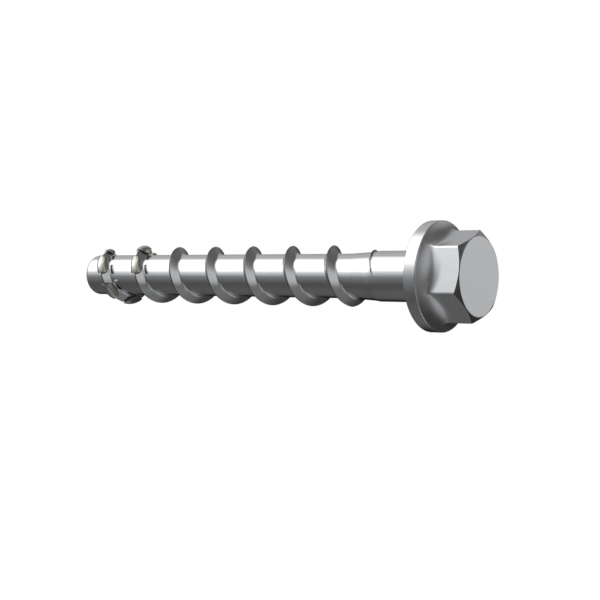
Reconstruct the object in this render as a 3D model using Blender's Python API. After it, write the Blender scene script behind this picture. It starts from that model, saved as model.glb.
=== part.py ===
"""Concrete screw: a hex washer head, a plain shank and a coarse self-cutting thread.

The screw stands on the top of its head. The origin is the centre of the head's top disc and
+Z runs along the shank to the tip. The body is forged and rolled as one piece. Small cutting
inserts are welded into round seats that are ground crosswise into the thread near the tip.
"""

import math

import bmesh
import bpy
from mathutils import Matrix, Vector

MM = 0.001

# Head
ACROSS_FLATS = 13.0
HEAD_HEIGHT = 8.6
TOP_DISC_DIAMETER = 12.8
TOP_CHAMFER_ANGLE = 30.0
FLANGE_DIAMETER = 18.0
FLANGE_RIM = 2.15
FLANGE_CONE_ANGLE = 30.0
FLANGE_EDGE_RADIUS = 0.25
HEX_FILLET_RADIUS = 1.6

# Shank and core
LENGTH_UNDER_HEAD = 75.0
SHANK_DIAMETER = 8.4
CORE_DIAMETER = 7.5
UNDER_HEAD_FILLET = 0.4
TIP_EDGE_RADIUS = 0.8
SHANK_LENGTH = 9.6
SHANK_STEP = 0.14
SHANK_STEP_LENGTH = 0.9
TAPER_LENGTH = 5.2

# Thread
THREAD_DIAMETER = 10.4
PITCH = 8.7
FLANK_ANGLE = 32.0
CREST_WIDTH = 0.5
CREST_ROUNDING = 0.1
THREAD_START_SETBACK = 2.16
THREAD_START_ANGLE = 51.5
RAMP_ANGLE = 107.5
FULL_THREAD_DISTANCE = 15.2
RUN_OUT_ANGLE = 45.0
RUN_OUT_SHIFT = 0.5
LOW_RIDGE_HEIGHT = 0.2
LOW_RIDGE_ANGLE = 180.0
FADE_ANGLE = 55.0
RIDGE_SINK = 0.12
RIDGE_FOOT_DEPTH = 0.45

# Cutting inserts
INSERT_COUNT = 8
INSERT_SPACING = 60.0
FIRST_INSERT_ANGLE = 68.0
INSERT_RADIUS = 2.1
INSERT_ROOT_LAND = 0.4
INSERT_PROUD = 0.38
INSERT_CROWN = 0.2
INSERT_FLANK_PROUD = 0.12
SEAT_CLEARANCE = 0.3

# Facets
TURN_SEGMENTS = 48
ARC_STEPS = 4
INSERT_SEGMENTS = 32
INSERT_STEP_ANGLE = 5.0

# Colours
STEEL = ((0.62, 0.63, 0.64, 1.0), 0.32, 1.0)
HARD_STEEL = ((0.36, 0.34, 0.30, 1.0), 0.45, 1.0)

# Sizes worked out from the ones above
HEX_RADIUS = ACROSS_FLATS / 2 / math.cos(math.radians(30))
FLANGE_RADIUS = FLANGE_DIAMETER / 2
SHANK_RADIUS = SHANK_DIAMETER / 2
CORE_RADIUS = CORE_DIAMETER / 2
THREAD_RADIUS = THREAD_DIAMETER / 2
SEAT_Z = HEAD_HEIGHT
TIP_Z = HEAD_HEIGHT + LENGTH_UNDER_HEAD
SHANK_END_Z = SEAT_Z + SHANK_LENGTH
THREAD_START_Z = TIP_Z - THREAD_START_SETBACK
FULL_THREAD_END = (THREAD_START_Z - SEAT_Z - FULL_THREAD_DISTANCE) / PITCH * 360.0
FLANK_SLOPE = math.tan(math.radians(FLANK_ANGLE))
INSERT_CENTRE_RADIUS = CORE_RADIUS + INSERT_ROOT_LAND + INSERT_RADIUS


def clear_scene():
    for obj in list(bpy.data.objects):
        bpy.data.objects.remove(obj, do_unlink=True)


def make_material(name, finish):
    colour, roughness, metallic = finish
    material = bpy.data.materials.new(name)
    material.use_nodes = True
    shader = material.node_tree.nodes["Principled BSDF"]
    shader.inputs["Base Color"].default_value = colour
    shader.inputs["Roughness"].default_value = roughness
    shader.inputs["Metallic"].default_value = metallic
    return material


def add_object(name, bm, material=None):
    """Turn a bmesh in millimetres into an object in metres."""
    bmesh.ops.recalc_face_normals(bm, faces=bm.faces)
    bmesh.ops.scale(bm, vec=(MM, MM, MM), verts=bm.verts)
    mesh = bpy.data.meshes.new(name)
    bm.to_mesh(mesh)
    bm.free()
    obj = bpy.data.objects.new(name, mesh)
    bpy.context.scene.collection.objects.link(obj)
    if material:
        mesh.materials.append(material)
    return obj


def cutter(name, bm):
    obj = add_object(name, bm)
    obj.hide_render = True
    obj.display_type = "WIRE"
    return obj


def boolean(obj, other, operation):
    modifier = obj.modifiers.new(other.name, "BOOLEAN")
    modifier.operation = operation
    modifier.solver = "EXACT"
    modifier.object = other


def arc(centre, radius, start, end, steps=ARC_STEPS):
    """Points (radius, height) on an arc, angles in degrees from +radius towards +height."""
    points = []
    for i in range(steps + 1):
        angle = math.radians(start + (end - start) * i / steps)
        points.append((centre[0] + radius * math.cos(angle), centre[1] + radius * math.sin(angle)))
    return points


def turned(profile):
    """Revolve a profile of (radius, z) that starts and ends on the axis.

    It starts half a facet round, so that no facet edge meets a corner of the hexagon.
    """
    half = math.pi / TURN_SEGMENTS
    bm = bmesh.new()
    line = [bm.verts.new((r * math.cos(half), r * math.sin(half), z)) for r, z in profile]
    edges = [bm.edges.new(pair) for pair in zip(line, line[1:])]
    bmesh.ops.spin(
        bm,
        geom=line + edges,
        axis=(0, 0, 1),
        cent=(0, 0, 0),
        angle=math.tau,
        steps=TURN_SEGMENTS,
        use_merge=True,
    )
    bmesh.ops.remove_doubles(bm, verts=bm.verts, dist=1e-4)
    return bm


def tip_profile():
    """The blunt end, from the axis out to the core."""
    centre = (CORE_RADIUS - TIP_EDGE_RADIUS, TIP_Z - TIP_EDGE_RADIUS)
    return [(0.0, TIP_Z)] + arc(centre, TIP_EDGE_RADIUS, 90, 0)


def shank_profile():
    """The core swells in a long taper, then in a short round step, to the plain shank."""
    step_radius = SHANK_RADIUS - SHANK_STEP
    step_z = SHANK_END_Z + SHANK_STEP_LENGTH
    return [
        (CORE_RADIUS, step_z + TAPER_LENGTH),
        ((CORE_RADIUS + step_radius) / 2, step_z + TAPER_LENGTH * 0.4),
        (step_radius, step_z),
        (SHANK_RADIUS - SHANK_STEP * 0.3, SHANK_END_Z + SHANK_STEP_LENGTH * 0.4),
        (SHANK_RADIUS, SHANK_END_Z),
    ]


def flange_profile():
    """The flat bearing face, the rim, the cone and the fillet that runs into the hexagon."""
    under = (SHANK_RADIUS + UNDER_HEAD_FILLET, SEAT_Z + UNDER_HEAD_FILLET)
    edge_radius = FLANGE_RADIUS - FLANGE_EDGE_RADIUS
    slope = math.radians(FLANGE_CONE_ANGLE)
    rim_z = SEAT_Z - FLANGE_RIM
    reach = ACROSS_FLATS / 2 - 0.02 + HEX_FILLET_RADIUS
    rise = (HEX_FILLET_RADIUS + (FLANGE_RADIUS - reach) * math.sin(slope)) / math.cos(slope)
    blend_centre = (reach, rim_z - rise)
    edge_drop = FLANGE_EDGE_RADIUS * (1 - math.sin(slope)) / math.cos(slope)
    points = arc(under, UNDER_HEAD_FILLET, 180, 270)
    points += arc((edge_radius, SEAT_Z - FLANGE_EDGE_RADIUS), FLANGE_EDGE_RADIUS, 90, 0, 2)
    points += arc((edge_radius, rim_z + edge_drop), FLANGE_EDGE_RADIUS, 0, FLANGE_CONE_ANGLE - 90, 2)
    points += arc(blend_centre, HEX_FILLET_RADIUS, 90 + FLANGE_CONE_ANGLE, 180)
    points.append((0.0, blend_centre[1]))
    return points


def body_mesh():
    return turned(tip_profile() + shank_profile() + flange_profile())


def hexagon_mesh():
    """The hexagon, with a corner on +X, longer than it ends up: the chamfer cuts its top."""
    low = -1.0
    high = SEAT_Z - FLANGE_RIM / 2
    bm = bmesh.new()
    turn = Matrix.Rotation(math.radians(90), 4, "Z")
    bmesh.ops.create_cone(
        bm,
        cap_ends=True,
        segments=6,
        radius1=HEX_RADIUS,
        radius2=HEX_RADIUS,
        depth=high - low,
        matrix=Matrix.Translation((0, 0, (low + high) / 2)) @ turn,
    )
    return bm


def chamfer_mesh():
    """A flat disc that opens in a cone: it cuts the hexagon's top corners."""
    disc = TOP_DISC_DIAMETER / 2
    outside = HEX_RADIUS + 1.0
    fall = (outside - disc) * math.tan(math.radians(TOP_CHAMFER_ANGLE))
    return turned([(0.0, 0.0), (disc, 0.0), (outside, fall), (outside, SEAT_Z), (0.0, SEAT_Z)])


def ridge_radius(wound):
    """Crest radius, by the angle wound from the thread's start at the tip."""
    low = SHANK_RADIUS + LOW_RIDGE_HEIGHT
    low_start = FULL_THREAD_END + RUN_OUT_ANGLE
    low_end = low_start + LOW_RIDGE_ANGLE
    stations = [
        (0.0, CORE_RADIUS - RIDGE_SINK),
        (RAMP_ANGLE, THREAD_RADIUS),
        (FULL_THREAD_END, THREAD_RADIUS),
        (low_start, low),
        (low_end, low),
        (low_end + FADE_ANGLE, SHANK_RADIUS - RIDGE_SINK),
    ]
    for (a, start), (b, end) in zip(stations, stations[1:]):
        if wound <= b:
            return start + (end - start) * (wound - a) / (b - a)
    return stations[-1][1]


def half_width(radius, crest):
    """Half the ridge's width at a radius below its crest."""
    return CREST_WIDTH / 2 + (crest - radius) * FLANK_SLOPE


def run_out_shift(wound):
    """The low ridge past the full thread lies a little nearer the tip than the helix."""
    along = (wound - FULL_THREAD_END) / RUN_OUT_ANGLE
    return RUN_OUT_SHIFT * min(max(along, 0.0), 1.0)


def on_helix(wound, radius, offset):
    angle = math.radians(THREAD_START_ANGLE - wound)
    z = THREAD_START_Z - PITCH * wound / 360.0 + offset
    return Vector((radius * math.cos(angle), radius * math.sin(angle), z))


def swept(stations):
    """Join rings of (wound, [(radius, offset), ...]) into one closed body."""
    bm = bmesh.new()
    rings = []
    for wound, section in stations:
        rings.append([bm.verts.new(on_helix(wound, r, offset)) for r, offset in section])
    for first, second in zip(rings, rings[1:]):
        for i in range(len(first)):
            j = (i + 1) % len(first)
            bm.faces.new((first[i], first[j], second[j], second[i]))
    bm.faces.new(rings[0])
    bm.faces.new(rings[-1])
    return bm


def ridge_section(wound):
    """Two flanks on a hidden foot, and a narrow crest with broken edges."""
    crest = ridge_radius(wound)
    shift = run_out_shift(wound)
    foot = CORE_RADIUS - RIDGE_FOOT_DEPTH
    shoulder = crest - CREST_ROUNDING
    upper = [
        (crest, CREST_WIDTH / 4),
        (shoulder, half_width(shoulder, crest)),
        (foot, half_width(foot, crest)),
    ]
    lower = [(radius, -offset) for radius, offset in reversed(upper)]
    return [(radius, offset + shift) for radius, offset in lower + upper]


def ridge_mesh():
    """Its sections stand at the middles of the core's facets, away from their edges."""
    end = FULL_THREAD_END + RUN_OUT_ANGLE + LOW_RIDGE_ANGLE + FADE_ANGLE
    facet = 360.0 / TURN_SEGMENTS
    first = THREAD_START_ANGLE % facet - facet
    count = math.ceil((end - first) / facet)
    angles = [first + facet * i for i in range(count + 1)]
    return swept([(wound, ridge_section(wound)) for wound in angles])


def insert_angle(index):
    return FIRST_INSERT_ANGLE + INSERT_SPACING * index


def crosswise_mesh(index, radius):
    """A round bar along Z at one insert's place, long enough to cross the thread."""
    wound = insert_angle(index)
    centre = on_helix(wound, INSERT_CENTRE_RADIUS, 0.0)
    turn = Matrix.Rotation(math.radians(THREAD_START_ANGLE - wound), 4, "Z")
    bm = bmesh.new()
    bmesh.ops.create_cone(
        bm,
        cap_ends=True,
        segments=INSERT_SEGMENTS,
        radius1=radius,
        radius2=radius,
        depth=PITCH * 0.8,
        matrix=Matrix.Translation(centre) @ turn,
    )
    return bm


def insert_section(wound, centre, reach):
    """The ridge's own wedge, a little wider and carried up to a narrow crowned edge."""
    crest = ridge_radius(wound)
    foot = CORE_RADIUS
    across = (wound - centre) / reach
    edge = crest + INSERT_PROUD - INSERT_CROWN * across * across
    edge_width = max(half_width(edge, crest), 0.0) + INSERT_FLANK_PROUD
    foot_width = half_width(foot, crest) + INSERT_FLANK_PROUD
    return [(foot, -foot_width), (edge, -edge_width), (edge, edge_width), (foot, foot_width)]


def insert_mesh(index):
    centre = insert_angle(index)
    reach = math.degrees(math.asin(min(INSERT_RADIUS / INSERT_CENTRE_RADIUS, 1.0)))
    steps = 2 * math.ceil((reach + INSERT_STEP_ANGLE) / INSERT_STEP_ANGLE)
    angles = [centre + INSERT_STEP_ANGLE * (i - steps / 2) for i in range(steps + 1)]
    return swept([(wound, insert_section(wound, centre, reach)) for wound in angles])


def build_screw(material):
    screw = add_object("concrete_screw", body_mesh(), material)
    hexagon = cutter("hexagon", hexagon_mesh())
    boolean(hexagon, cutter("hexagon_chamfer", chamfer_mesh()), "INTERSECT")
    boolean(screw, hexagon, "UNION")
    boolean(screw, cutter("thread_ridge", ridge_mesh()), "UNION")
    for index in range(INSERT_COUNT):
        seat = crosswise_mesh(index, INSERT_RADIUS + SEAT_CLEARANCE)
        boolean(screw, cutter("seat_%d" % (index + 1), seat), "DIFFERENCE")
    return screw


def build_insert(index, material):
    insert = add_object("cutting_insert_%d" % (index + 1), insert_mesh(index), material)
    blank = crosswise_mesh(index, INSERT_RADIUS)
    boolean(insert, cutter("insert_blank_%d" % (index + 1), blank), "INTERSECT")
    return insert


def build():
    clear_scene()
    build_screw(make_material("zinc_plated_steel", STEEL))
    hard = make_material("hard_steel", HARD_STEEL)
    for index in range(INSERT_COUNT):
        build_insert(index, hard)


build()
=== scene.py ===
"""Concrete screw: a bright zinc-plated body, its cutting inserts and a plain studio."""

import math

import bpy
import numpy as np
from mathutils import Matrix, Vector


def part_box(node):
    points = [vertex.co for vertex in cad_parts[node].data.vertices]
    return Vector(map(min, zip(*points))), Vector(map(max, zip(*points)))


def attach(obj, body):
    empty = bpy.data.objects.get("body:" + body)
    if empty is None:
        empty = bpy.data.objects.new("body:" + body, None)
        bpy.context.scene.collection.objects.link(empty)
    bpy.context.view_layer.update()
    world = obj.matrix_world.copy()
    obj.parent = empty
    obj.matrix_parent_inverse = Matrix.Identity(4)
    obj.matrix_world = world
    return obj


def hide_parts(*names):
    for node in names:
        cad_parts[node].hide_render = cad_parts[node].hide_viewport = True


bl_info = {
    "name": "Concrete screw",
    "version": (1, 0, 0),
    "blender": (4, 5, 0),
    "location": "3D View > Sidebar > Concrete screw",
    "description": "Makes a plated concrete screw with cutting inserts, and a studio to show it in",
    "category": "Add Mesh",
}

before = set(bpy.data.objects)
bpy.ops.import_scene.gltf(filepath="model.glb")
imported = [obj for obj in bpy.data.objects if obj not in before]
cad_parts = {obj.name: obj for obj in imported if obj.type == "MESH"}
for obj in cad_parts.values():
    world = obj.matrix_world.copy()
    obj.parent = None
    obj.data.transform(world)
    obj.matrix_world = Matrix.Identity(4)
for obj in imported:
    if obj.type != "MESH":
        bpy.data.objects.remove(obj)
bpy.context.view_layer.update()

MM = 0.001
BODY_NODE = "concrete_screw"
INSERT_NODES = sorted(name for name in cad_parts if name.startswith("cutting_insert"))
BODY_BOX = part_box(BODY_NODE)

# Mesh layout
POINT = 0.02 * MM
MERGE = 0.002 * MM
TURN_STEPS = 120
EDGE_STEPS = 5
ROOT_STEPS = 6
TIP_STEPS = 8
HEAD_JOIN = 2 * MM
TIP_JOIN = 0.3 * MM
BODY_SHARP = 24
INSERT_SHARP = 40

# The head: rows of points up the hexagon, and how they crowd towards its corners
SECTOR = math.radians(60)
CROWDING = 1.6
HEAD_ROW = 0.07 * MM
HEAD_ROWS_HEIGHT = 3.9 * MM
RAW_TOP = -1 * MM
KNEE = 0.25
FILLET_START = 1.8

# The thread: rows of points in mm from the middle of its crest, as (from, to, number)
RIDGE_ROWS = ((0, 0.24, 5), (0.36, 0.84, 5), (0.94, 1.48, 8))
CORE_ROWS_FROM = 1.75 * MM
CORE_ROWS = 6
TAPER_BLEND = 0.2
LEAST_BLEND = 0.25
BURIED = 4

# The inserts
SEAT_SIDES = 96
SEAT_LENGTH = 0.8
PIECE_STEPS = 24
PIECE_REACH = 2.4
SIDE_STEPS = 10

# The studio
SENSOR_WIDTH = 36
FLOOR_RADIUS = 1.2
FLOOR_SIDES = 96
FLOOR_DROP = -0.02 * MM
FLOOR_GLOW = 0.6
UP_ANGLE = -8.49


def length(label, words, value):
    """A size in metres, given here in millimetres."""
    return bpy.props.FloatProperty(
        name=label, description=words, default=value * MM, subtype="DISTANCE", unit="LENGTH", precision=5
    )


def turn(label, words, value):
    """An angle, given here in degrees."""
    return bpy.props.FloatProperty(
        name=label, description=words, default=math.radians(value), subtype="ANGLE", unit="ROTATION"
    )


def share(label, words, value):
    return bpy.props.FloatProperty(name=label, description=words, default=value, min=0, subtype="FACTOR")


def colour(label, words, value):
    return bpy.props.FloatVectorProperty(
        name=label, description=words, default=value, min=0, max=1, size=3, subtype="COLOR"
    )


class HeadSizes(bpy.types.PropertyGroup):
    """The forged head."""

    across_flats: length("Across flats", "Width of the hexagon", 13.0)
    height: length("Head height", "From the top disc to the bearing face", 8.6)
    disc: length("Top disc", "Diameter of the flat disc on top", 12.8)
    disc_edge: length("Disc edge", "Rounding between the disc and its chamfer", 0.12)
    chamfer: turn("Top chamfer", "Slope of the chamfer that cuts the corners", 30)
    corner: length("Corner rounding", "Rounding of the hexagon's upright edges", 0.14)
    flange: length("Flange", "Diameter of the washer flange", BODY_BOX[1].x / MM * 2)
    rim: length("Flange rim", "Height of the flange's upright rim", 2.15)
    rim_edge: length("Rim edge", "Rounding of the rim's edges", 0.22)
    cone: turn("Flange cone", "Slope of the flange's upper side", 30)
    fillet_share: share("Hexagon fillet", "Share of the cone that its fillet to the hexagon takes", 0.85)


class ShankSizes(bpy.types.PropertyGroup):
    """The shank, the core and the tip."""

    overall: length("Overall length", "From the top disc to the tip", BODY_BOX[1].z / MM)
    shank: length("Shank", "Diameter of the plain shank", 8.4)
    core: length("Core", "Diameter of the core under the thread", 7.5)
    plain: length("Plain shank", "Length of the plain shank under the head", 9.6)
    step: length("Shank step", "Height of the round step at the shank's end", 0.14)
    step_run: length("Step length", "Length of that step", 0.9)
    taper: length("Taper", "Length over which the core swells", 5.2)
    root: length("Under-head fillet", "Radius between the shank and the bearing face", 0.4)
    tip_edge: length("Tip edge", "Rounding of the blunt tip", 0.8)


class ThreadSizes(bpy.types.PropertyGroup):
    """The rolled thread."""

    diameter: length("Thread", "Diameter over the crest", 10.4)
    pitch: length("Pitch", "Rise of one turn", 8.7)
    flank: turn("Flank", "Angle of each flank from square to the axis", 37.5)
    crest: length("Crest", "Width of the crest", 0.16)
    crest_blend: length("Crest blend", "How far the crest's edges are rounded", 0.14)
    root_blend: length("Root blend", "How far the flanks run into the core", 0.3)
    start_back: length("Start setback", "From the tip to where the ridge rises", 2.16)
    start_angle: turn("Start angle", "Where the ridge rises, round the axis", 51.5)
    ramp: turn("Start ramp", "Angle over which the ridge rises", 107.5)
    full_to: length("Full thread ends", "From the bearing face", 15.0)
    run_out: turn("Run-out", "Angle over which the ridge falls", 48)
    run_out_shift: length("Run-out shift", "How far the low ridge leaves the helix", 0.5)
    low: length("Low ridge", "Height of the ridge that is left on the shank", 0.2)
    low_run: turn("Low ridge length", "Angle that the low ridge turns through", 169)
    faint: length("Faint ridge", "Height of the faint ridge that follows it", 0.12)
    faint_fall: turn("Faint ridge start", "Angle over which the low ridge falls to it", 12)
    faint_run: turn("Faint ridge length", "Angle that the faint ridge turns through", 35)
    fade: turn("Faint ridge end", "Angle over which it dies out", 20)
    sink: length("Ridge sink", "How far the ridge's ends lie under the steel", 0.12)


class InsertSizes(bpy.types.PropertyGroup):
    """The cutting inserts and their seats."""

    radius: length("Insert radius", "Radius of the insert's round foot", 2.1)
    land: length("Root land", "Height of the foot above the core", 0.4)
    proud: length("Proud", "How far the insert stands above the crest", 0.38)
    crown: length("Crown", "How much its ends are lower than its middle", 0.2)
    flank_proud: length("Flank proud", "How far it stands out of the flanks", 0.12)
    seat_gap: length("Seat gap", "Gap between the insert and its seat", 0.23)
    first: turn("First insert", "Wound angle from the thread's start", 68)
    spacing: turn("Spacing", "Wound angle between inserts", 60)
    edge: length("Insert edge", "Rounding of the insert's edges", 0.07)
    roundness: bpy.props.FloatProperty(
        name="Roundness", description="1 is a plain wedge, 2 is a round section", default=2.2, min=1, max=3
    )
    weld_roundness: bpy.props.FloatProperty(
        name="Weld roundness", description="Like Roundness, for the weld", default=1.15, min=1, max=3
    )
    weld_depth: length("Weld depth", "How far the weld lies under the ridge", 0.04)
    weld_overlap: length("Weld overlap", "How far the weld runs into the steel beside it", 0.03)


class Finish(bpy.types.PropertyGroup):
    """The surfaces."""

    steel: colour("Plated steel", "Bright zinc plate on steel", (0.655, 0.665, 0.68))
    steel_roughness: share("Steel roughness", "Roughness of the polished core and shank", 0.17)
    head_roughness: share("Head roughness", "Roughness of the forged head", 0.26)
    flank_roughness: share("Flank roughness", "Roughness of the rolled flanks", 0.19)
    # The flange's cone is darkened in the colour by Cone tone: painted shade.
    cone_painted_shade_tone: share("Cone tone", "How bright the flange's cone is beside the rest", 0.8)
    # The thread's crest is darkened in the colour by Crest tone: painted shade, a dark line along the
    # crest.
    crest_painted_shade_tone: share("Crest tone", "How bright the worn thread crest is beside the rest", 0.38)
    # The head's chamfer is darkened in the colour by Chamfer tone: painted shade, beside its rougher forged
    # finish.
    chamfer_painted_shade_tone: share("Chamfer tone", "How bright the head's chamfer is beside the rest", 0.4)
    dull_roughness: share("Dull roughness", "Roughness of the cone, the chamfer and the crest", 0.3)
    insert: colour("Insert", "Hard steel, a little warm", (0.58, 0.56, 0.515))
    # The insert's sides below the crown are darker in the colour: painted shade, with the lighter crown as
    # a painted highlight.
    insert_side: colour("Insert side", "Darker steel below the insert's worn crown", (0.42, 0.405, 0.375))
    insert_roughness: share("Insert roughness", "Roughness of the ground inserts", 0.28)
    weld: colour("Weld", "Dark scale on the weld", (0.06, 0.056, 0.052))


class Studio(bpy.types.PropertyGroup):
    """The camera, the floor and the light."""

    camera_place: bpy.props.FloatVectorProperty(
        name="Camera",
        description="Where the camera stands",
        default=(-29.289 * MM, -181.689 * MM, -100.821 * MM),
        size=3,
        subtype="TRANSLATION",
        unit="LENGTH",
        precision=6,
    )
    azimuth: turn("Azimuth", "Where the camera stands round the screw", -7.858)
    elevation: turn("Elevation", "How high the camera stands", -36.417)
    roll: turn("Roll", "How far the camera is rolled", -88.930)
    lens: bpy.props.FloatProperty(
        name="Lens", description="Focal length", default=79.541, subtype="DISTANCE_CAMERA", precision=3
    )
    floor: colour("Floor", "Plain pale floor", (0.82, 0.82, 0.82))


class ScrewSettings(bpy.types.PropertyGroup):
    """All that a user can change."""

    head: bpy.props.PointerProperty(type=HeadSizes)
    shank: bpy.props.PointerProperty(type=ShankSizes)
    thread: bpy.props.PointerProperty(type=ThreadSizes)
    inserts: bpy.props.PointerProperty(type=InsertSizes)
    finish: bpy.props.PointerProperty(type=Finish)
    studio: bpy.props.PointerProperty(type=Studio)


# Modelling tools


def settings():
    return bpy.context.scene.concrete_screw


def turn_steps():
    return TURN_STEPS


def pick(*objects):
    """Select these objects only. The last one is active."""
    bpy.ops.object.select_all(action="DESELECT")
    for obj in objects:
        obj.select_set(True)
        bpy.context.view_layer.objects.active = obj
    return objects[-1]


def place_in_mesh(obj):
    pick(obj)
    bpy.ops.object.transform_apply(location=True, rotation=True, scale=True)


def trace(name, points):
    """Draw a profile of (radius, z) points as a chain of edges."""
    bpy.ops.object.select_all(action="DESELECT")
    radius, z = points[0]
    bpy.ops.mesh.primitive_plane_add(size=POINT, location=(radius, 0, z))
    obj = bpy.context.object
    obj.name = name
    bpy.ops.object.mode_set(mode="EDIT")
    bpy.ops.mesh.merge(type="CENTER")
    for (r0, z0), (r1, z1) in zip(points, points[1:]):
        bpy.ops.mesh.extrude_vertices_move(TRANSFORM_OT_translate={"value": (r1 - r0, 0, z1 - z0)})
    bpy.ops.object.mode_set(mode="OBJECT")
    place_in_mesh(obj)
    return obj


def clean(obj):
    """Merge doubled points and turn all faces outwards."""
    pick(obj)
    bpy.ops.object.mode_set(mode="EDIT")
    bpy.ops.mesh.select_all(action="SELECT")
    bpy.ops.mesh.remove_doubles(threshold=MERGE)
    bpy.ops.mesh.normals_make_consistent(inside=False)
    bpy.ops.object.mode_set(mode="OBJECT")


def turned(name, points):
    """Turn a profile once round Z."""
    obj = trace(name, points)
    bpy.ops.object.mode_set(mode="EDIT")
    bpy.ops.mesh.select_all(action="SELECT")
    bpy.ops.mesh.spin(
        steps=turn_steps(), angle=math.tau, center=(0, 0, 0), axis=(0, 0, 1), use_auto_merge=False
    )
    bpy.ops.object.mode_set(mode="OBJECT")
    clean(obj)
    return obj


def wind(obj, angle, climb, steps):
    """Wind an outline round Z through an angle, while it climbs."""
    modifier = obj.modifiers.new("helix", "SCREW")
    modifier.axis = "Z"
    modifier.angle = angle
    modifier.screw_offset = climb
    modifier.steps = steps
    modifier.render_steps = steps
    modifier.use_merge_vertices = False
    pick(obj)
    bpy.ops.object.modifier_apply(modifier=modifier.name)


def arc(centre, radius, start, end, steps):
    """Points on an arc, angles in degrees from +radius towards +z."""
    angles = [math.radians(start + (end - start) * i / steps) for i in range(steps + 1)]
    return [(centre[0] + radius * math.cos(a), centre[1] + radius * math.sin(a)) for a in angles]


def join(name, *objects):
    obj = pick(*reversed(objects))
    bpy.ops.object.join()
    obj.name = name
    return obj


def apply_boolean(obj, other, operation):
    modifier = obj.modifiers.new("cut", "BOOLEAN")
    modifier.operation = operation
    modifier.solver = "EXACT"
    modifier.object = other
    pick(obj)
    bpy.ops.object.modifier_apply(modifier=modifier.name)
    bpy.data.objects.remove(other, do_unlink=True)


def bevel(obj, width, segments, limit):
    modifier = obj.modifiers.new("edge", "BEVEL")
    modifier.width = width
    modifier.segments = segments
    modifier.limit_method = "ANGLE"
    modifier.angle_limit = math.radians(limit)
    modifier.harden_normals = False
    pick(obj)
    bpy.ops.object.modifier_apply(modifier=modifier.name)


def shade(obj, limit):
    """Smooth, but sharp past an angle, with large faces kept flat."""
    pick(obj)
    bpy.ops.object.shade_smooth_by_angle(angle=math.radians(limit))
    modifier = obj.modifiers.new("flat_faces", "WEIGHTED_NORMAL")
    modifier.keep_sharp = True
    bpy.ops.object.modifier_apply(modifier=modifier.name)


def read_points(obj):
    points = np.empty(len(obj.data.vertices) * 3)
    obj.data.vertices.foreach_get("co", points)
    return points.reshape(-1, 3)


def write_points(obj, points):
    obj.data.vertices.foreach_set("co", points.ravel())
    obj.data.update()


def reshape(obj, rule):
    """The rule takes each point's angle, height and radius and gives its new radius, height and angle."""
    points = read_points(obj)
    angle = np.arctan2(points[:, 1], points[:, 0])
    radius, z, angle = rule(angle, points[:, 2], np.hypot(points[:, 0], points[:, 1]))
    write_points(obj, np.column_stack((radius * np.cos(angle), radius * np.sin(angle), z)))


def finish_piece(obj, name, material, slot, *nodes):
    obj.name = name
    obj.data.name = name
    obj.data.materials.clear()
    obj.data.materials.append(material)
    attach(obj, "root")
    if nodes:
        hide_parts(*nodes)


# The thread's helix


def smooth_max(a, b, blend):
    """The greater of two values, rounded where they cross."""
    overlap = np.maximum(blend - np.abs(a - b), 0) / blend
    return np.maximum(a, b) + overlap * overlap * blend / 4


def smooth_min(a, b, blend):
    return -smooth_max(-a, -b, blend)


def run_in(flat, slope, reach):
    """The higher of two radii, with a fillet that starts softly on the first and ends on the second."""
    start = FILLET_START * reach
    t = np.clip((slope - flat + start) / (start + reach), 0, 1)
    fillet = t * t * ((2 * reach - start) + t * (start - reach))
    return np.where(slope - flat > reach, slope, flat + fillet)


def smooth_step(x):
    x = np.clip(x, 0, 1)
    return x * x * (3 - 2 * x)


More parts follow.
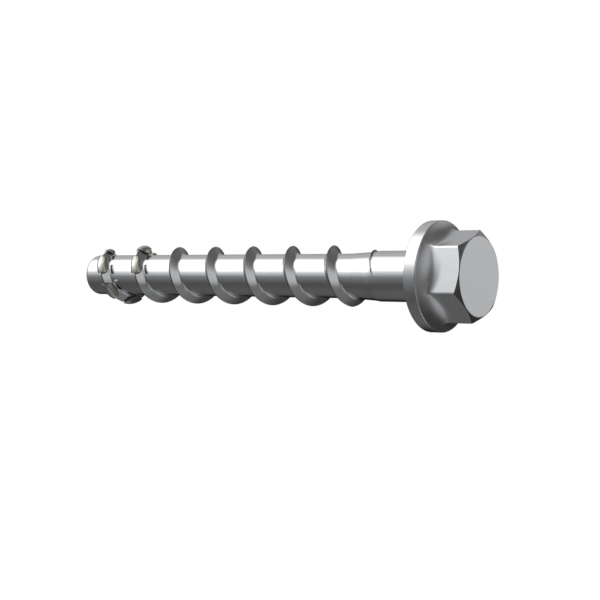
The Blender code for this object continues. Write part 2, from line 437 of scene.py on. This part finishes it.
class Helix:
    """The thread's line, by the angle wound from its start at the tip, and its ridge."""

    def __init__(self):
        s = settings()
        self.thread = s.thread
        self.core = s.shank.core / 2
        self.shank = s.shank.shank / 2
        self.crest = s.thread.diameter / 2
        self.slope = math.tan(s.thread.flank)
        self.seat_z = s.head.height
        self.start_z = s.shank.overall - s.thread.start_back
        self.full_end = (self.start_z - self.seat_z - s.thread.full_to) / s.thread.pitch * math.tau
        self.step = s.shank.step
        self.step_run = s.shank.step_run
        self.plain_end = self.seat_z + s.shank.plain
        self.taper = s.shank.taper

    def base(self, z):
        """Radius of the core, its taper, the round step and the plain shank."""
        step_z = self.plain_end + self.step_run
        swell = self.shank - self.step - self.core
        taper = smooth_max(1 - (z - step_z) / self.taper, np.zeros_like(z), TAPER_BLEND)
        step = 1 - smooth_step((z - self.plain_end) / self.step_run)
        return self.core + swell * np.minimum(taper, 1) + self.step * step

    def ridge_radius(self, wound):
        """The crest rises out of the core at the tip and sinks into the shank at the other end."""
        t = self.thread
        buried = BURIED * t.sink
        sunk = t.sink / (self.crest - self.core + t.sink) * t.ramp
        low = self.shank + t.low
        low_start = self.full_end + t.run_out
        low_end = low_start + t.low_run
        faint = self.shank + t.faint
        faint_start = low_end + t.faint_fall
        faint_end = faint_start + t.faint_run
        fall = t.fade * (t.faint + buried) / (t.faint + t.sink)
        stations = (
            ((1 - BURIED) * sunk, self.core - buried),
            (t.ramp, self.crest),
            (self.full_end, self.crest),
            (low_start, low),
            (low_end, low),
            (faint_start, faint),
            (faint_end, faint),
            (faint_end + fall, self.shank - buried),
        )
        angles, radii = zip(*stations)
        return np.interp(wound, angles, radii)

    def shift(self, wound):
        """The low ridge lies a little nearer the tip than the helix."""
        return self.thread.run_out_shift * np.clip((wound - self.full_end) / self.thread.run_out, 0, 1)

    def z(self, wound):
        return self.start_z - self.thread.pitch * wound / math.tau

    def angle(self, wound):
        return self.thread.start_angle - wound

    def nearest(self, angle, z):
        """The wound angle of the turn nearest to a point."""
        first = np.mod(self.thread.start_angle - angle, math.tau)
        exact = (self.start_z - z) / self.thread.pitch * math.tau
        return first + math.tau * np.round((exact - first) / math.tau)

    def ridge(self, angle, z):
        """Radius of the ridge's own wedge at a point, which lies under the core away from it."""
        wound = self.nearest(angle, z)
        off = np.abs(z - self.z(wound) - self.shift(wound))
        crest = self.ridge_radius(wound)
        flank = crest - (off - self.thread.crest / 2) / self.slope
        return smooth_min(crest, flank, self.thread.crest_blend * self.height_share(angle, z))

    def height_share(self, angle, z):
        """How high the ridge is there beside the full thread. A low ridge has small roundings."""
        height = self.ridge_radius(self.nearest(angle, z)) - self.base(z)
        return np.clip(height / (self.crest - self.core), LEAST_BLEND, 1)

    def surface(self, angle, z, radius):
        """A rule for reshape: core, shank and ridge in one."""
        blend = self.thread.root_blend * self.height_share(angle, z)
        return smooth_max(self.base(z), self.ridge(angle, z), blend), z, angle


# The screw's body


def thread_band(low, high):
    """A strip one pitch wide is wound round the core, then shaped into core and ridge."""
    helix = Helix()
    pitch = helix.thread.pitch
    ridge = [np.linspace(near * MM, far * MM, count) for near, far, count in RIDGE_ROWS]
    half = np.concatenate(ridge + [np.linspace(CORE_ROWS_FROM, pitch / 2, CORE_ROWS)])
    offsets = np.concatenate((-half[:0:-1], half))
    crest_z = helix.z(helix.thread.start_angle)
    down = math.ceil((crest_z - (low - pitch / 2)) / pitch)
    bottom = crest_z - down * pitch
    turns = math.ceil((high - bottom) / pitch + 0.5)
    strip = trace("thread", [(helix.core, bottom + offset) for offset in offsets])
    wind(strip, math.tau * turns, pitch * turns, turn_steps() * turns)
    points = read_points(strip)
    points[:, 2] = np.clip(points[:, 2], low, high)
    write_points(strip, points)
    clean(strip)
    reshape(strip, helix.surface)
    return strip


def hexagon_radius(angle):
    """Distance from the axis to the hexagon, with its upright edges a little rounded."""
    head = settings().head
    flat = head.across_flats / 2
    offset = np.abs(np.mod(angle, SECTOR) - SECTOR / 2)
    return smooth_min(flat / np.cos(offset), flat / np.cos(SECTOR - offset), head.corner)


def crowd_to_corners(angle):
    """Move evenly spaced angles towards the hexagon's corners, where the form turns sharply."""
    corner = np.round(angle / SECTOR) * SECTOR
    offset = (angle - corner) / (SECTOR / 2)
    return corner + np.sign(offset) * np.abs(offset) ** CROWDING * SECTOR / 2


def head_and_shank(top):
    """The lower end: plain shank, bearing face, rim, and a cone that runs up into the hexagon."""
    s = settings()
    head = s.head
    shank = s.shank.shank / 2
    seat = head.height
    flange = head.flange / 2
    rim_z = seat - head.rim
    slope = head.cone
    edge_drop = head.rim_edge * (1 - math.sin(slope)) / math.cos(slope)
    edge = flange - head.rim_edge
    points = [(shank, top)]
    points += arc((shank + s.shank.root, seat + s.shank.root), s.shank.root, 180, 270, ROOT_STEPS)
    points += arc((edge, seat - head.rim_edge), head.rim_edge, 90, 0, EDGE_STEPS)
    points += arc((edge, rim_z + edge_drop), head.rim_edge, 0, math.degrees(slope) - 90, EDGE_STEPS)
    cone_radius, cone_z = points[-1]
    rows = np.arange(cone_z - HEAD_ROW, cone_z - HEAD_ROWS_HEIGHT, -HEAD_ROW)
    points += [(cone_radius - (cone_z - z) / math.tan(slope), z) for z in rows]
    points += [(head.disc / 2, RAW_TOP), (0, RAW_TOP)]
    obj = turned("head", points)

    def forged(angle, z, radius):
        cone = cone_radius - (cone_z - z) / math.tan(slope)
        hexagon = hexagon_radius(crowd_to_corners(angle))
        fillet = (cone_radius - hexagon) * head.fillet_share
        formed = run_in(hexagon, cone, fillet)
        above = (z < cone_z - POINT) & (radius > POINT)
        spread = (z < seat - POINT) | (radius > shank + s.shank.root + POINT)
        return np.where(above, formed, radius), z, np.where(spread, crowd_to_corners(angle), angle)

    reshape(obj, forged)
    return obj


def outside_chamfer():
    """All that lies outside the chamfer cone and the flat disc on top of the head."""
    head = settings().head
    disc = head.disc / 2
    wide = head.across_flats
    fall = (wide - disc) * math.tan(head.chamfer)
    above = 2 * RAW_TOP
    inner = (disc - head.disc_edge, 0)
    knee = (disc, head.disc_edge * KNEE)
    cutter = turned("chamfer", [(0, 0), inner, knee, (wide, fall), (wide, above), (0, above)])
    cutter.data.transform(Matrix.Rotation(math.tau / turn_steps() / 2, 4, "Z"))
    return cutter


def tip(low):
    s = settings()
    core = s.shank.core / 2
    end = s.shank.overall
    edge = s.shank.tip_edge
    points = [(core, low)] + arc((core - edge, end - edge), edge, 0, 90, TIP_STEPS) + [(0, end)]
    return turned("tip", points)


def insert_place(index):
    """The wound angle of an insert, and how far from the axis the middle of its seat lies."""
    s = settings()
    wound = s.inserts.first + s.inserts.spacing * index
    return wound, s.shank.core / 2 + s.inserts.land + s.inserts.radius


def seat_bar(index, radius):
    """A round bar along Z at one insert's place, that crosses the ridge."""
    helix = Helix()
    wound, centre = insert_place(index)
    angle = helix.angle(wound)
    bpy.ops.object.select_all(action="DESELECT")
    bpy.ops.mesh.primitive_cylinder_add(
        vertices=SEAT_SIDES,
        radius=radius,
        depth=helix.thread.pitch * SEAT_LENGTH,
        location=(centre * math.cos(angle), centre * math.sin(angle), helix.z(wound)),
        rotation=(0, 0, angle),
    )
    bar = bpy.context.object
    place_in_mesh(bar)
    return bar


def seat_cutters(radius):
    return join("seats", *[seat_bar(index, radius) for index in range(len(INSERT_NODES))])


class SCREW_OT_body(bpy.types.Operator):
    """Forge the head, roll the thread and grind the seats of the inserts"""

    bl_idname = "screw.body"
    bl_label = "Screw body"

    def execute(self, context):
        s = settings()
        low = s.head.height + HEAD_JOIN
        high = s.shank.overall - s.shank.tip_edge - TIP_JOIN
        body = join(BODY_NODE, head_and_shank(low), thread_band(low, high), tip(high))
        clean(body)
        apply_boolean(body, outside_chamfer(), "DIFFERENCE")
        apply_boolean(body, seat_cutters(s.inserts.radius + s.inserts.seat_gap), "DIFFERENCE")
        shade(body, BODY_SHARP)
        finish_piece(body, "screw_body", plated_steel(), "plated_steel", BODY_NODE)
        return {"FINISHED"}


# The cutting inserts


def rounded_section(roundness):
    """Half of a rounded section as (level, width) points, from one foot over the top to the other."""
    power = 2 / roundness
    angles = [math.radians(90) * i / SIDE_STEPS for i in range(SIDE_STEPS + 1)]
    side = [(max(math.sin(a), 0) ** power, max(math.cos(a), 0) ** power) for a in angles]
    return [(level, -width) for level, width in side] + [(level, width) for level, width in side[-2::-1]]


def cap(obj):
    """Close both open ends."""
    pick(obj)
    bpy.ops.object.mode_set(mode="EDIT")
    bpy.ops.mesh.select_all(action="DESELECT")
    bpy.ops.mesh.select_non_manifold()
    bpy.ops.mesh.edge_face_add()
    bpy.ops.object.mode_set(mode="OBJECT")
    clean(obj)


def ridge_piece(name, index, roundness, rise, spread, crown):
    """A short piece of the ridge with a rounded section.

    It is one closed outline on the core, wound along the helix, capped, and then brought to the
    ridge's own height and width at each angle. It stands proud of the crest by rise and of the
    flanks by spread, and its ends are lower by crown.
    """
    inserts = settings().inserts
    helix = Helix()
    wound, centre = insert_place(index)
    reach = math.asin((inserts.radius + inserts.seat_gap) / centre)
    sweep = PIECE_REACH * reach
    climb = helix.thread.pitch * sweep / math.tau
    points = [(helix.core + level * MM, width * MM) for level, width in rounded_section(roundness)]
    piece = trace(name, points + points[:1])
    clean(piece)
    wind(piece, sweep, climb, PIECE_STEPS)
    spin = Matrix.Rotation(helix.angle(wound) - sweep / 2, 4, "Z")
    lift = Matrix.Translation((0, 0, helix.z(wound) - climb / 2))
    piece.data.transform(lift @ spin)
    cap(piece)

    def fitted(angle, z, radius):
        here = helix.nearest(angle, z)
        level = (radius - helix.core) / MM
        width = (z - helix.z(here)) / MM
        crest = helix.ridge_radius(here)
        top = crest + rise - crown * ((here - wound) / reach) ** 2
        foot = helix.thread.crest / 2 + (crest - helix.core) * helix.slope + spread
        return helix.core + (top - helix.core) * level, helix.z(here) + width * foot, angle

    reshape(piece, fitted)
    return piece


def make_insert(index):
    s = settings()
    i = s.inserts
    insert = ridge_piece("insert", index, i.roundness, i.proud, i.flank_proud, i.crown)
    apply_boolean(insert, seat_bar(index, i.radius), "INTERSECT")
    clean(insert)
    bevel(insert, i.edge, 2, INSERT_SHARP)
    shade(insert, INSERT_SHARP)
    return insert


def make_weld(index):
    """The ring of weld between an insert and its seat, a little under the ridge."""
    i = settings().inserts
    weld = ridge_piece("weld", index, i.weld_roundness, -i.weld_depth, -i.weld_depth / 2, 0)
    apply_boolean(weld, seat_bar(index, i.radius + i.seat_gap + i.weld_overlap), "INTERSECT")
    apply_boolean(weld, seat_bar(index, i.radius - i.weld_overlap), "DIFFERENCE")
    clean(weld)
    shade(weld, INSERT_SHARP)
    return weld


class SCREW_OT_inserts(bpy.types.Operator):
    """Model the hard cutting inserts in their seats"""

    bl_idname = "screw.inserts"
    bl_label = "Cutting inserts"

    def execute(self, context):
        material = hard_steel()
        for index, node in enumerate(INSERT_NODES):
            insert = make_insert(index)
            finish_piece(insert, "insert_%d" % (index + 1), material, "hard_steel", node)
        return {"FINISHED"}


class SCREW_OT_welds(bpy.types.Operator):
    """Fill the gap round each insert with its weld"""

    bl_idname = "screw.welds"
    bl_label = "Welds"

    def execute(self, context):
        material = weld_scale()
        welds = [make_weld(index) for index in range(len(INSERT_NODES))]
        finish_piece(join("welds", *welds), "insert_welds", material, "hard_steel")
        return {"FINISHED"}


# Materials

# Where each mask of the plated steel starts and where it is full, in mm
PAST_HEAD = (0, 0.1)
PAST_SHANK = (12, 14)
PAST_RUN_OUT = (13.8, 14.3)
PAST_ROOT = (1.0, 1.4)
FLANK = (0.25, 0.6)
CREST = (-0.14, -0.06)
LOW_CREST = (-0.16, -0.09)
CHAMFER = (-0.06, -0.03)
CONE = (0.3, 0.9)
CONE_TOP = (-0.2, 0)
CONE_INSET = 0.1
# How strongly the low ridge's crest is dulled and given painted shade.
LOW_CREST_SHARE = 1.2

# The crown of an insert, painted lighter as a painted highlight with painted shade below it, in mm from the
# crest's radius
CROWN_HIGHLIGHT = (-0.15, 0.25)

# Noise textures, as (scale, detail, roughness)
PLATE_MOTTLE = (650.0, 4.0, 0.55)
PLATE_GRAIN = (5200.0, 3.0, 0.6)
STEEL_MOTTLE = (1500.0, 4.0, 0.6)
STEEL_GRAIN = (7000.0, 3.0, 0.6)
WELD_LUMPS = (2500.0, 3.0, 0.6)

# Bumps, as (strength, depth in mm)
PLATE_BUMP = (0.12, 0.02)
STEEL_BUMP = (0.2, 0.02)
WELD_BUMP = (0.5, 0.05)

# How much the noise changes the roughness and the tone
PLATE_MOTTLE_SHINE = 0.08
PLATE_GRAIN_SHINE = 0.05
PLATE_SPOTS = (0.35, 0.65)
PLATE_SPOT_DEPTH = 0.03
STEEL_MOTTLE_SHINE = 0.15
STEEL_SPOTS = (0.3, 0.7)
STEEL_TONES = (0.8, 1.15)
WELD_METAL = 0.6
WELD_SHINE = 0.35
WELD_LUMP_SHINE = 0.3


class Wire:
    """A socket in a node tree. Arithmetic on it adds Math nodes."""

    def __init__(self, paint, socket):
        self.paint = paint
        self.socket = socket

    def math(self, operation, first, second):
        return self.paint.node("ShaderNodeMath", {"operation": operation}, first, second)

    def __add__(self, other):
        return self.math("ADD", self, other)

    def __radd__(self, other):
        return self.math("ADD", other, self)

    def __sub__(self, other):
        return self.math("SUBTRACT", self, other)

    def __rsub__(self, other):
        return self.math("SUBTRACT", other, self)

    def __mul__(self, other):
        return self.math("MULTIPLY", self, other)

    def __rmul__(self, other):
        return self.math("MULTIPLY", other, self)

    def __getitem__(self, name):
        return Wire(self.paint, self.socket.node.outputs[name])


class Paint:
    """A node tree and the one method that adds nodes to it."""

    def __init__(self, tree):
        self.tree = tree

    def node(self, kind, options=None, *values, **named):
        """Options are set first, then sockets get values or links, by place or by name."""
        node = self.tree.nodes.new(kind)
        for key, value in (options or {}).items():
            setattr(node, key, value)
        for place, value in enumerate(values):
            self.feed(node.inputs[place], value)
        for name, value in named.items():
            self.feed(node.inputs[name.replace("_", " ")], value)
        shown = [socket for socket in node.outputs if socket.enabled]
        return Wire(self, shown[0]) if shown else node

    def feed(self, socket, value):
        if isinstance(value, Wire):
            self.tree.links.new(value.socket, socket)
        elif value is not None:
            socket.default_value = value

    def rise(self, value, low, high):
        """0 below low and 1 above high, smooth between."""
        return self.node(
            "ShaderNodeMapRange", {"interpolation_type": "SMOOTHSTEP"}, value, low, high, 0.0, 1.0
        )

    def mask(self, value, base, edges):
        """0 before the first edge and 1 past the second, both in mm from the base."""
        low, high = edges
        return self.rise(value, base + low * MM, base + high * MM)

    def noise(self, place, kind):
        scale, detail, roughness = kind
        return self.node("ShaderNodeTexNoise", None, place, Scale=scale, Detail=detail, Roughness=roughness)

    def bump(self, kind, height):
        strength, depth = kind
        return self.node("ShaderNodeBump", None, Strength=strength, Distance=depth * MM, Height=height)

    def mix(self, factor, first, second):
        """Mix two colours."""
        node = self.node("ShaderNodeMix", {"data_type": "RGBA"}, factor)
        for place, value in ((6, first), (7, second)):
            self.feed(node.socket.node.inputs[place], value)
        return Wire(self, node.socket.node.outputs[2])

    def radius_and_z(self, place):
        """Distance from the screw's axis, and height."""
        parts = self.node("ShaderNodeSeparateXYZ", None, place)
        across = self.node("ShaderNodeCombineXYZ", None, parts["X"], parts["Y"], 0.0)
        return self.node("ShaderNodeVectorMath", {"operation": "LENGTH"}, across)["Value"], parts["Z"]

    def scale(self, value, factor):
        return self.node("ShaderNodeVectorMath", {"operation": "SCALE"}, value, Scale=factor)


def start_material(name):
    material = bpy.data.materials.new(name)
    material.use_nodes = True
    tree = material.node_tree
    tree.nodes.clear()
    return material, Paint(tree)


def end_material(paint, **sockets):
    shader = paint.node("ShaderNodeBsdfPrincipled", None, **sockets)
    paint.node("ShaderNodeOutputMaterial", None, shader)


def rgba(value, strength=1.0):
    return tuple(channel * strength for channel in value) + (1.0,)


def plated_steel():
    """Bright zinc plate: polished core and shank, satin flanks, forged head with faint mottling, and
    painted shade that darkens the cone, the chamfer and the crest.
    """
    s = settings()
    f = s.finish
    material, paint = start_material("bright_zinc_plate")
    place = paint.node("ShaderNodeTexCoord")["Object"]
    radius, z = paint.radius_and_z(place)
    seat = s.head.height
    head = 1 - paint.mask(z, seat, PAST_HEAD)
    past_shank = paint.mask(z, seat, PAST_SHANK)
    flank = paint.mask(radius, s.shank.core / 2, FLANK) * past_shank
    # The crest and the low ridge's crest are duller, and darkened in the colour as painted shade.
    crest = paint.mask(radius, s.thread.diameter / 2, CREST) * past_shank
    low = s.shank.shank / 2 + s.thread.low
    low_crest = paint.mask(radius, low, LOW_CREST) * (1 - paint.mask(z, seat, PAST_RUN_OUT))
    crest = crest + low_crest * LOW_CREST_SHARE * paint.mask(z, seat, PAST_ROOT)
    # The head's chamfer is rougher, and darkened in the colour as painted shade.
    over_disc = (radius - s.head.disc / 2) * math.tan(s.head.chamfer) - z
    chamfer = paint.mask(over_disc, 0, CHAMFER) * head
    # The flange's cone, masked here, is dulled, and darkened in the colour as painted shade.
    rim_z = seat - s.head.rim
    cone_base = s.head.flange / 2 - CONE_INSET * MM
    over_cone = (radius - cone_base) * math.tan(s.head.cone) - z + rim_z
    cone = (1 - paint.mask(over_cone, 0, CONE)) * (1 - paint.mask(z, rim_z, CONE_TOP))
    mottle = paint.noise(place, PLATE_MOTTLE)
    grain = paint.noise(place, PLATE_GRAIN)
    shine = f.steel_roughness + head * (f.head_roughness - f.steel_roughness)
    shine = shine + flank * (f.flank_roughness - f.steel_roughness)
    shine = shine + (cone + chamfer) * (f.dull_roughness - f.head_roughness)
    shine = shine + crest * (f.dull_roughness - f.flank_roughness)
    roughness = shine + (mottle - 0.5) * PLATE_MOTTLE_SHINE + (grain - 0.5) * PLATE_GRAIN_SHINE
    # The cone, the chamfer and the crest are darker in the colour: painted shade. The spots below are the
    # plate's own mottling.
    painted_shade_factor = 1 - cone * (1 - f.cone_painted_shade_tone) - chamfer * (1 - f.chamfer_painted_shade_tone) - crest * (1 - f.crest_painted_shade_tone)
    spots = 1 - PLATE_SPOT_DEPTH + paint.rise(mottle, *PLATE_SPOTS) * PLATE_SPOT_DEPTH
    tone = paint.scale(tuple(f.steel), painted_shade_factor * spots)
    bump = paint.bump(PLATE_BUMP, mottle * 0.6 + grain * 0.4)
    end_material(paint, Base_Color=tone, Metallic=1.0, Roughness=roughness, Normal=bump)
    return material


def hard_steel():
    """Hard steel, a little warm, with a painted highlight on the crown and painted shade below it."""
    s = settings()
    f = s.finish
    material, paint = start_material("hard_steel")
    place = paint.node("ShaderNodeTexCoord")["Object"]
    mottle = paint.noise(place, STEEL_MOTTLE)
    grain = paint.noise(place, STEEL_GRAIN)
    radius, _ = paint.radius_and_z(place)
    # This mask paints a highlight on the crown and painted shade on the sides below it; the mottled tone is
    # the steel's own.
    crown = paint.mask(radius, s.thread.diameter / 2, CROWN_HIGHLIGHT)
    dark, pale = STEEL_TONES
    worn = paint.mix(paint.rise(mottle, *STEEL_SPOTS), rgba(f.insert, dark), rgba(f.insert, pale))
    tone = paint.mix(crown, rgba(f.insert_side), worn)
    roughness = f.insert_roughness + (mottle - 0.5) * STEEL_MOTTLE_SHINE
    bump = paint.bump(STEEL_BUMP, mottle * 0.5 + grain * 0.5)
    end_material(paint, Base_Color=tone, Metallic=1.0, Roughness=roughness, Normal=bump)
    return material


def weld_scale():
    """Dark, rough scale on the weld."""
    material, paint = start_material("weld_scale")
    place = paint.node("ShaderNodeTexCoord")["Object"]
    lumps = paint.noise(place, WELD_LUMPS)
    tone = rgba(settings().finish.weld)
    bump = paint.bump(WELD_BUMP, lumps)
    roughness = WELD_SHINE + lumps * WELD_LUMP_SHINE
    end_material(paint, Base_Color=tone, Metallic=WELD_METAL, Roughness=roughness, Normal=bump)
    return material


# The studio


def photo_axes():
    """Unit vectors of the picture: up, towards the tip and towards the viewer, in the screw's frame."""
    up = Vector((math.cos(math.radians(UP_ANGLE)), math.sin(math.radians(UP_ANGLE)), 0))
    along = Vector((0, 0, 1))
    return up, along, up.cross(along)


# The room has two halves, one towards the screw's tip and one towards its head. What lies in them is
# given as (from, to, level), by how far up or how far towards the viewer it lies.
HALVES_MEET = (-0.15, 0.15)
TIP_HALF = 0.107
HEAD_HALF = 0.06
DARK_CORNER = ((-0.14, 0.42, -0.89), 26, 42)
DARK_CORNER_SHARE = 0.9
SIDE_WALL = (-0.3, 0.15, 0.14)
WALL_BEHIND_VIEWER = (0.45, 0.7, -0.12)
CEILING = (-0.1, 0.4, 0.04)
CEILING_BY_THE_HEAD = 0.05
GROUND = (-0.9, -0.65)
NEAR_GROUND = (-0.6, -0.3, 0.04)

SOFTBOXES = (
    # name, (up, towards tip, near), full and edge angle in degrees, level
    ("key", (0.70, 0.60, 0.39), 15, 38, 1.6),
    ("key spill", (0.64, 0.59, 0.50), 30, 75, 0.2),
    ("front fill", (0.40, 0.66, 0.64), 10, 31, 0.52),
    ("front fill, high", (0.62, 0.10, 0.78), 10, 30, 0.6),
    ("front card, top", (0.93, -0.15, 0.33), 10, 28, 0.9),
    ("front card, low", (-0.50, -0.50, 0.71), 10, 28, 0.28),
    ("rear wall", (0.60, 0.52, -0.61), 15, 34, 0.34),
    ("under wall", (-0.98, -0.15, 0.02), 10, 30, 0.28),
    ("behind the head", (0.18, -0.50, -0.85), 12, 35, 0.62),
    ("near the head", (0.41, -0.81, 0.42), 5, 31, 0.38),
    ("over the head", (0.10, -0.99, 0.0), 5, 28, 0.09),
)


def studio_light():
    """A dark grey room with a few large soft boxes, seen as plain white by the camera."""
    world = bpy.data.worlds.new("studio")
    world.use_nodes = True
    world.node_tree.nodes.clear()
    paint = Paint(world.node_tree)
    direction = paint.node("ShaderNodeTexCoord")["Generated"]
    up, along, near = photo_axes()

    def facing(u, a, n):
        """How far a direction points along this one."""
        axis = (up * u + along * a + near * n).normalized()
        dot = paint.node("ShaderNodeVectorMath", {"operation": "DOT_PRODUCT"}, direction, tuple(axis))
        return dot["Value"]

    def spot(centre, full, edge):
        """1 inside a cone round this direction and 0 outside a wider one."""
        return paint.rise(facing(*centre), math.cos(math.radians(edge)), math.cos(math.radians(full)))

    def wall(value, low, high, level):
        return paint.rise(value, low, high) * level

    height = facing(1, 0, 0)
    nearness = facing(0, 0, 1)
    tip_side = paint.rise(facing(0, 1, 0), *HALVES_MEET)
    head_side = 1 - tip_side
    tip_room = TIP_HALF * (1 - spot(*DARK_CORNER) * DARK_CORNER_SHARE)
    head_room = HEAD_HALF + wall(nearness, *SIDE_WALL) + wall(nearness, *WALL_BEHIND_VIEWER)
    level = head_room + tip_side * (tip_room - head_room)
    low, high, ceiling = CEILING
    level = level + wall(height, low, high, head_side * CEILING_BY_THE_HEAD + ceiling)
    level = level + (1 - paint.rise(height, *GROUND)) * wall(nearness, *NEAR_GROUND)
    for _, centre, full, edge, strength in SOFTBOXES:
        level = level + spot(centre, full, edge) * strength
    seen = paint.node("ShaderNodeLightPath")["Is Camera Ray"]
    level = level + seen * (1.0 - level)
    light = paint.node("ShaderNodeBackground", None, (1, 1, 1, 1), level)
    paint.node("ShaderNodeOutputWorld", None, light)
    bpy.context.scene.world = world
    bpy.context.scene.view_settings.view_transform = "Standard"


def studio_floor():
    """A plain pale disc that the screw stands on, seen from above only."""
    bpy.ops.object.select_all(action="DESELECT")
    bpy.ops.mesh.primitive_circle_add(
        vertices=FLOOR_SIDES, radius=FLOOR_RADIUS, fill_type="NGON", location=(0, 0, FLOOR_DROP)
    )
    floor = bpy.context.object
    floor.name = "floor"
    material, paint = start_material("pale_floor")
    matt = paint.node("ShaderNodeBsdfDiffuse", None, rgba(settings().studio.floor))
    glow = paint.node("ShaderNodeEmission", None, rgba(settings().studio.floor, FLOOR_GLOW), 1.0)
    pale = paint.node("ShaderNodeAddShader", None, matt, glow)
    clear = paint.node("ShaderNodeBsdfTransparent")
    under = paint.node("ShaderNodeNewGeometry")["Backfacing"]
    shader = paint.node("ShaderNodeMixShader", None, under, pale, clear)
    paint.node("ShaderNodeOutputMaterial", None, shader)
    floor.data.materials.append(material)
    floor.visible_glossy = False
    floor.visible_shadow = False


def studio_camera():
    s = settings().studio
    camera = bpy.data.cameras.new("camera")
    camera.lens = s.lens
    camera.sensor_width = SENSOR_WIDTH
    camera.clip_start = 0.01
    camera.clip_end = 10
    obj = bpy.data.objects.new("camera", camera)
    bpy.context.scene.collection.objects.link(obj)
    turned_round = Matrix.Rotation(s.azimuth, 3, "Z")
    tilted = Matrix.Rotation(math.radians(90) - s.elevation, 3, "X")
    rolled = Matrix.Rotation(s.roll, 3, "Z")
    obj.rotation_euler = (turned_round @ tilted @ rolled).to_euler()
    obj.location = s.camera_place
    bpy.context.scene.camera = obj


class SCREW_OT_studio(bpy.types.Operator):
    """Set up the floor, the light and the camera"""

    bl_idname = "screw.studio"
    bl_label = "Studio"

    def execute(self, context):
        studio_light()
        studio_floor()
        studio_camera()
        return {"FINISHED"}


class VIEW3D_PT_concrete_screw(bpy.types.Panel):
    """Sizes, finishes and the pieces to make"""

    bl_label = "Concrete screw"
    bl_space_type = "VIEW_3D"
    bl_region_type = "UI"
    bl_category = "Concrete screw"

    def draw(self, context):
        layout = self.layout
        groups = context.scene.concrete_screw
        for name in ("head", "shank", "thread", "inserts", "finish", "studio"):
            group = getattr(groups, name)
            box = layout.box()
            box.label(text=name.capitalize())
            for prop in group.bl_rna.properties:
                if prop.identifier not in ("rna_type", "name"):
                    box.prop(group, prop.identifier)
        for operator in OPERATORS:
            layout.operator(operator.bl_idname)


OPERATORS = (SCREW_OT_body, SCREW_OT_inserts, SCREW_OT_welds, SCREW_OT_studio)
GROUPS = (HeadSizes, ShankSizes, ThreadSizes, InsertSizes, Finish, Studio, ScrewSettings)
CLASSES = GROUPS + OPERATORS + (VIEW3D_PT_concrete_screw,)


def register():
    for item in CLASSES:
        bpy.utils.register_class(item)
    bpy.types.Scene.concrete_screw = bpy.props.PointerProperty(type=ScrewSettings)


def unregister():
    del bpy.types.Scene.concrete_screw
    for item in reversed(CLASSES):
        bpy.utils.unregister_class(item)


def main():
    register()
    bpy.ops.screw.studio()
    bpy.ops.screw.body()
    bpy.ops.screw.inserts()
    bpy.ops.screw.welds()


if __name__ == "__main__":
    main()
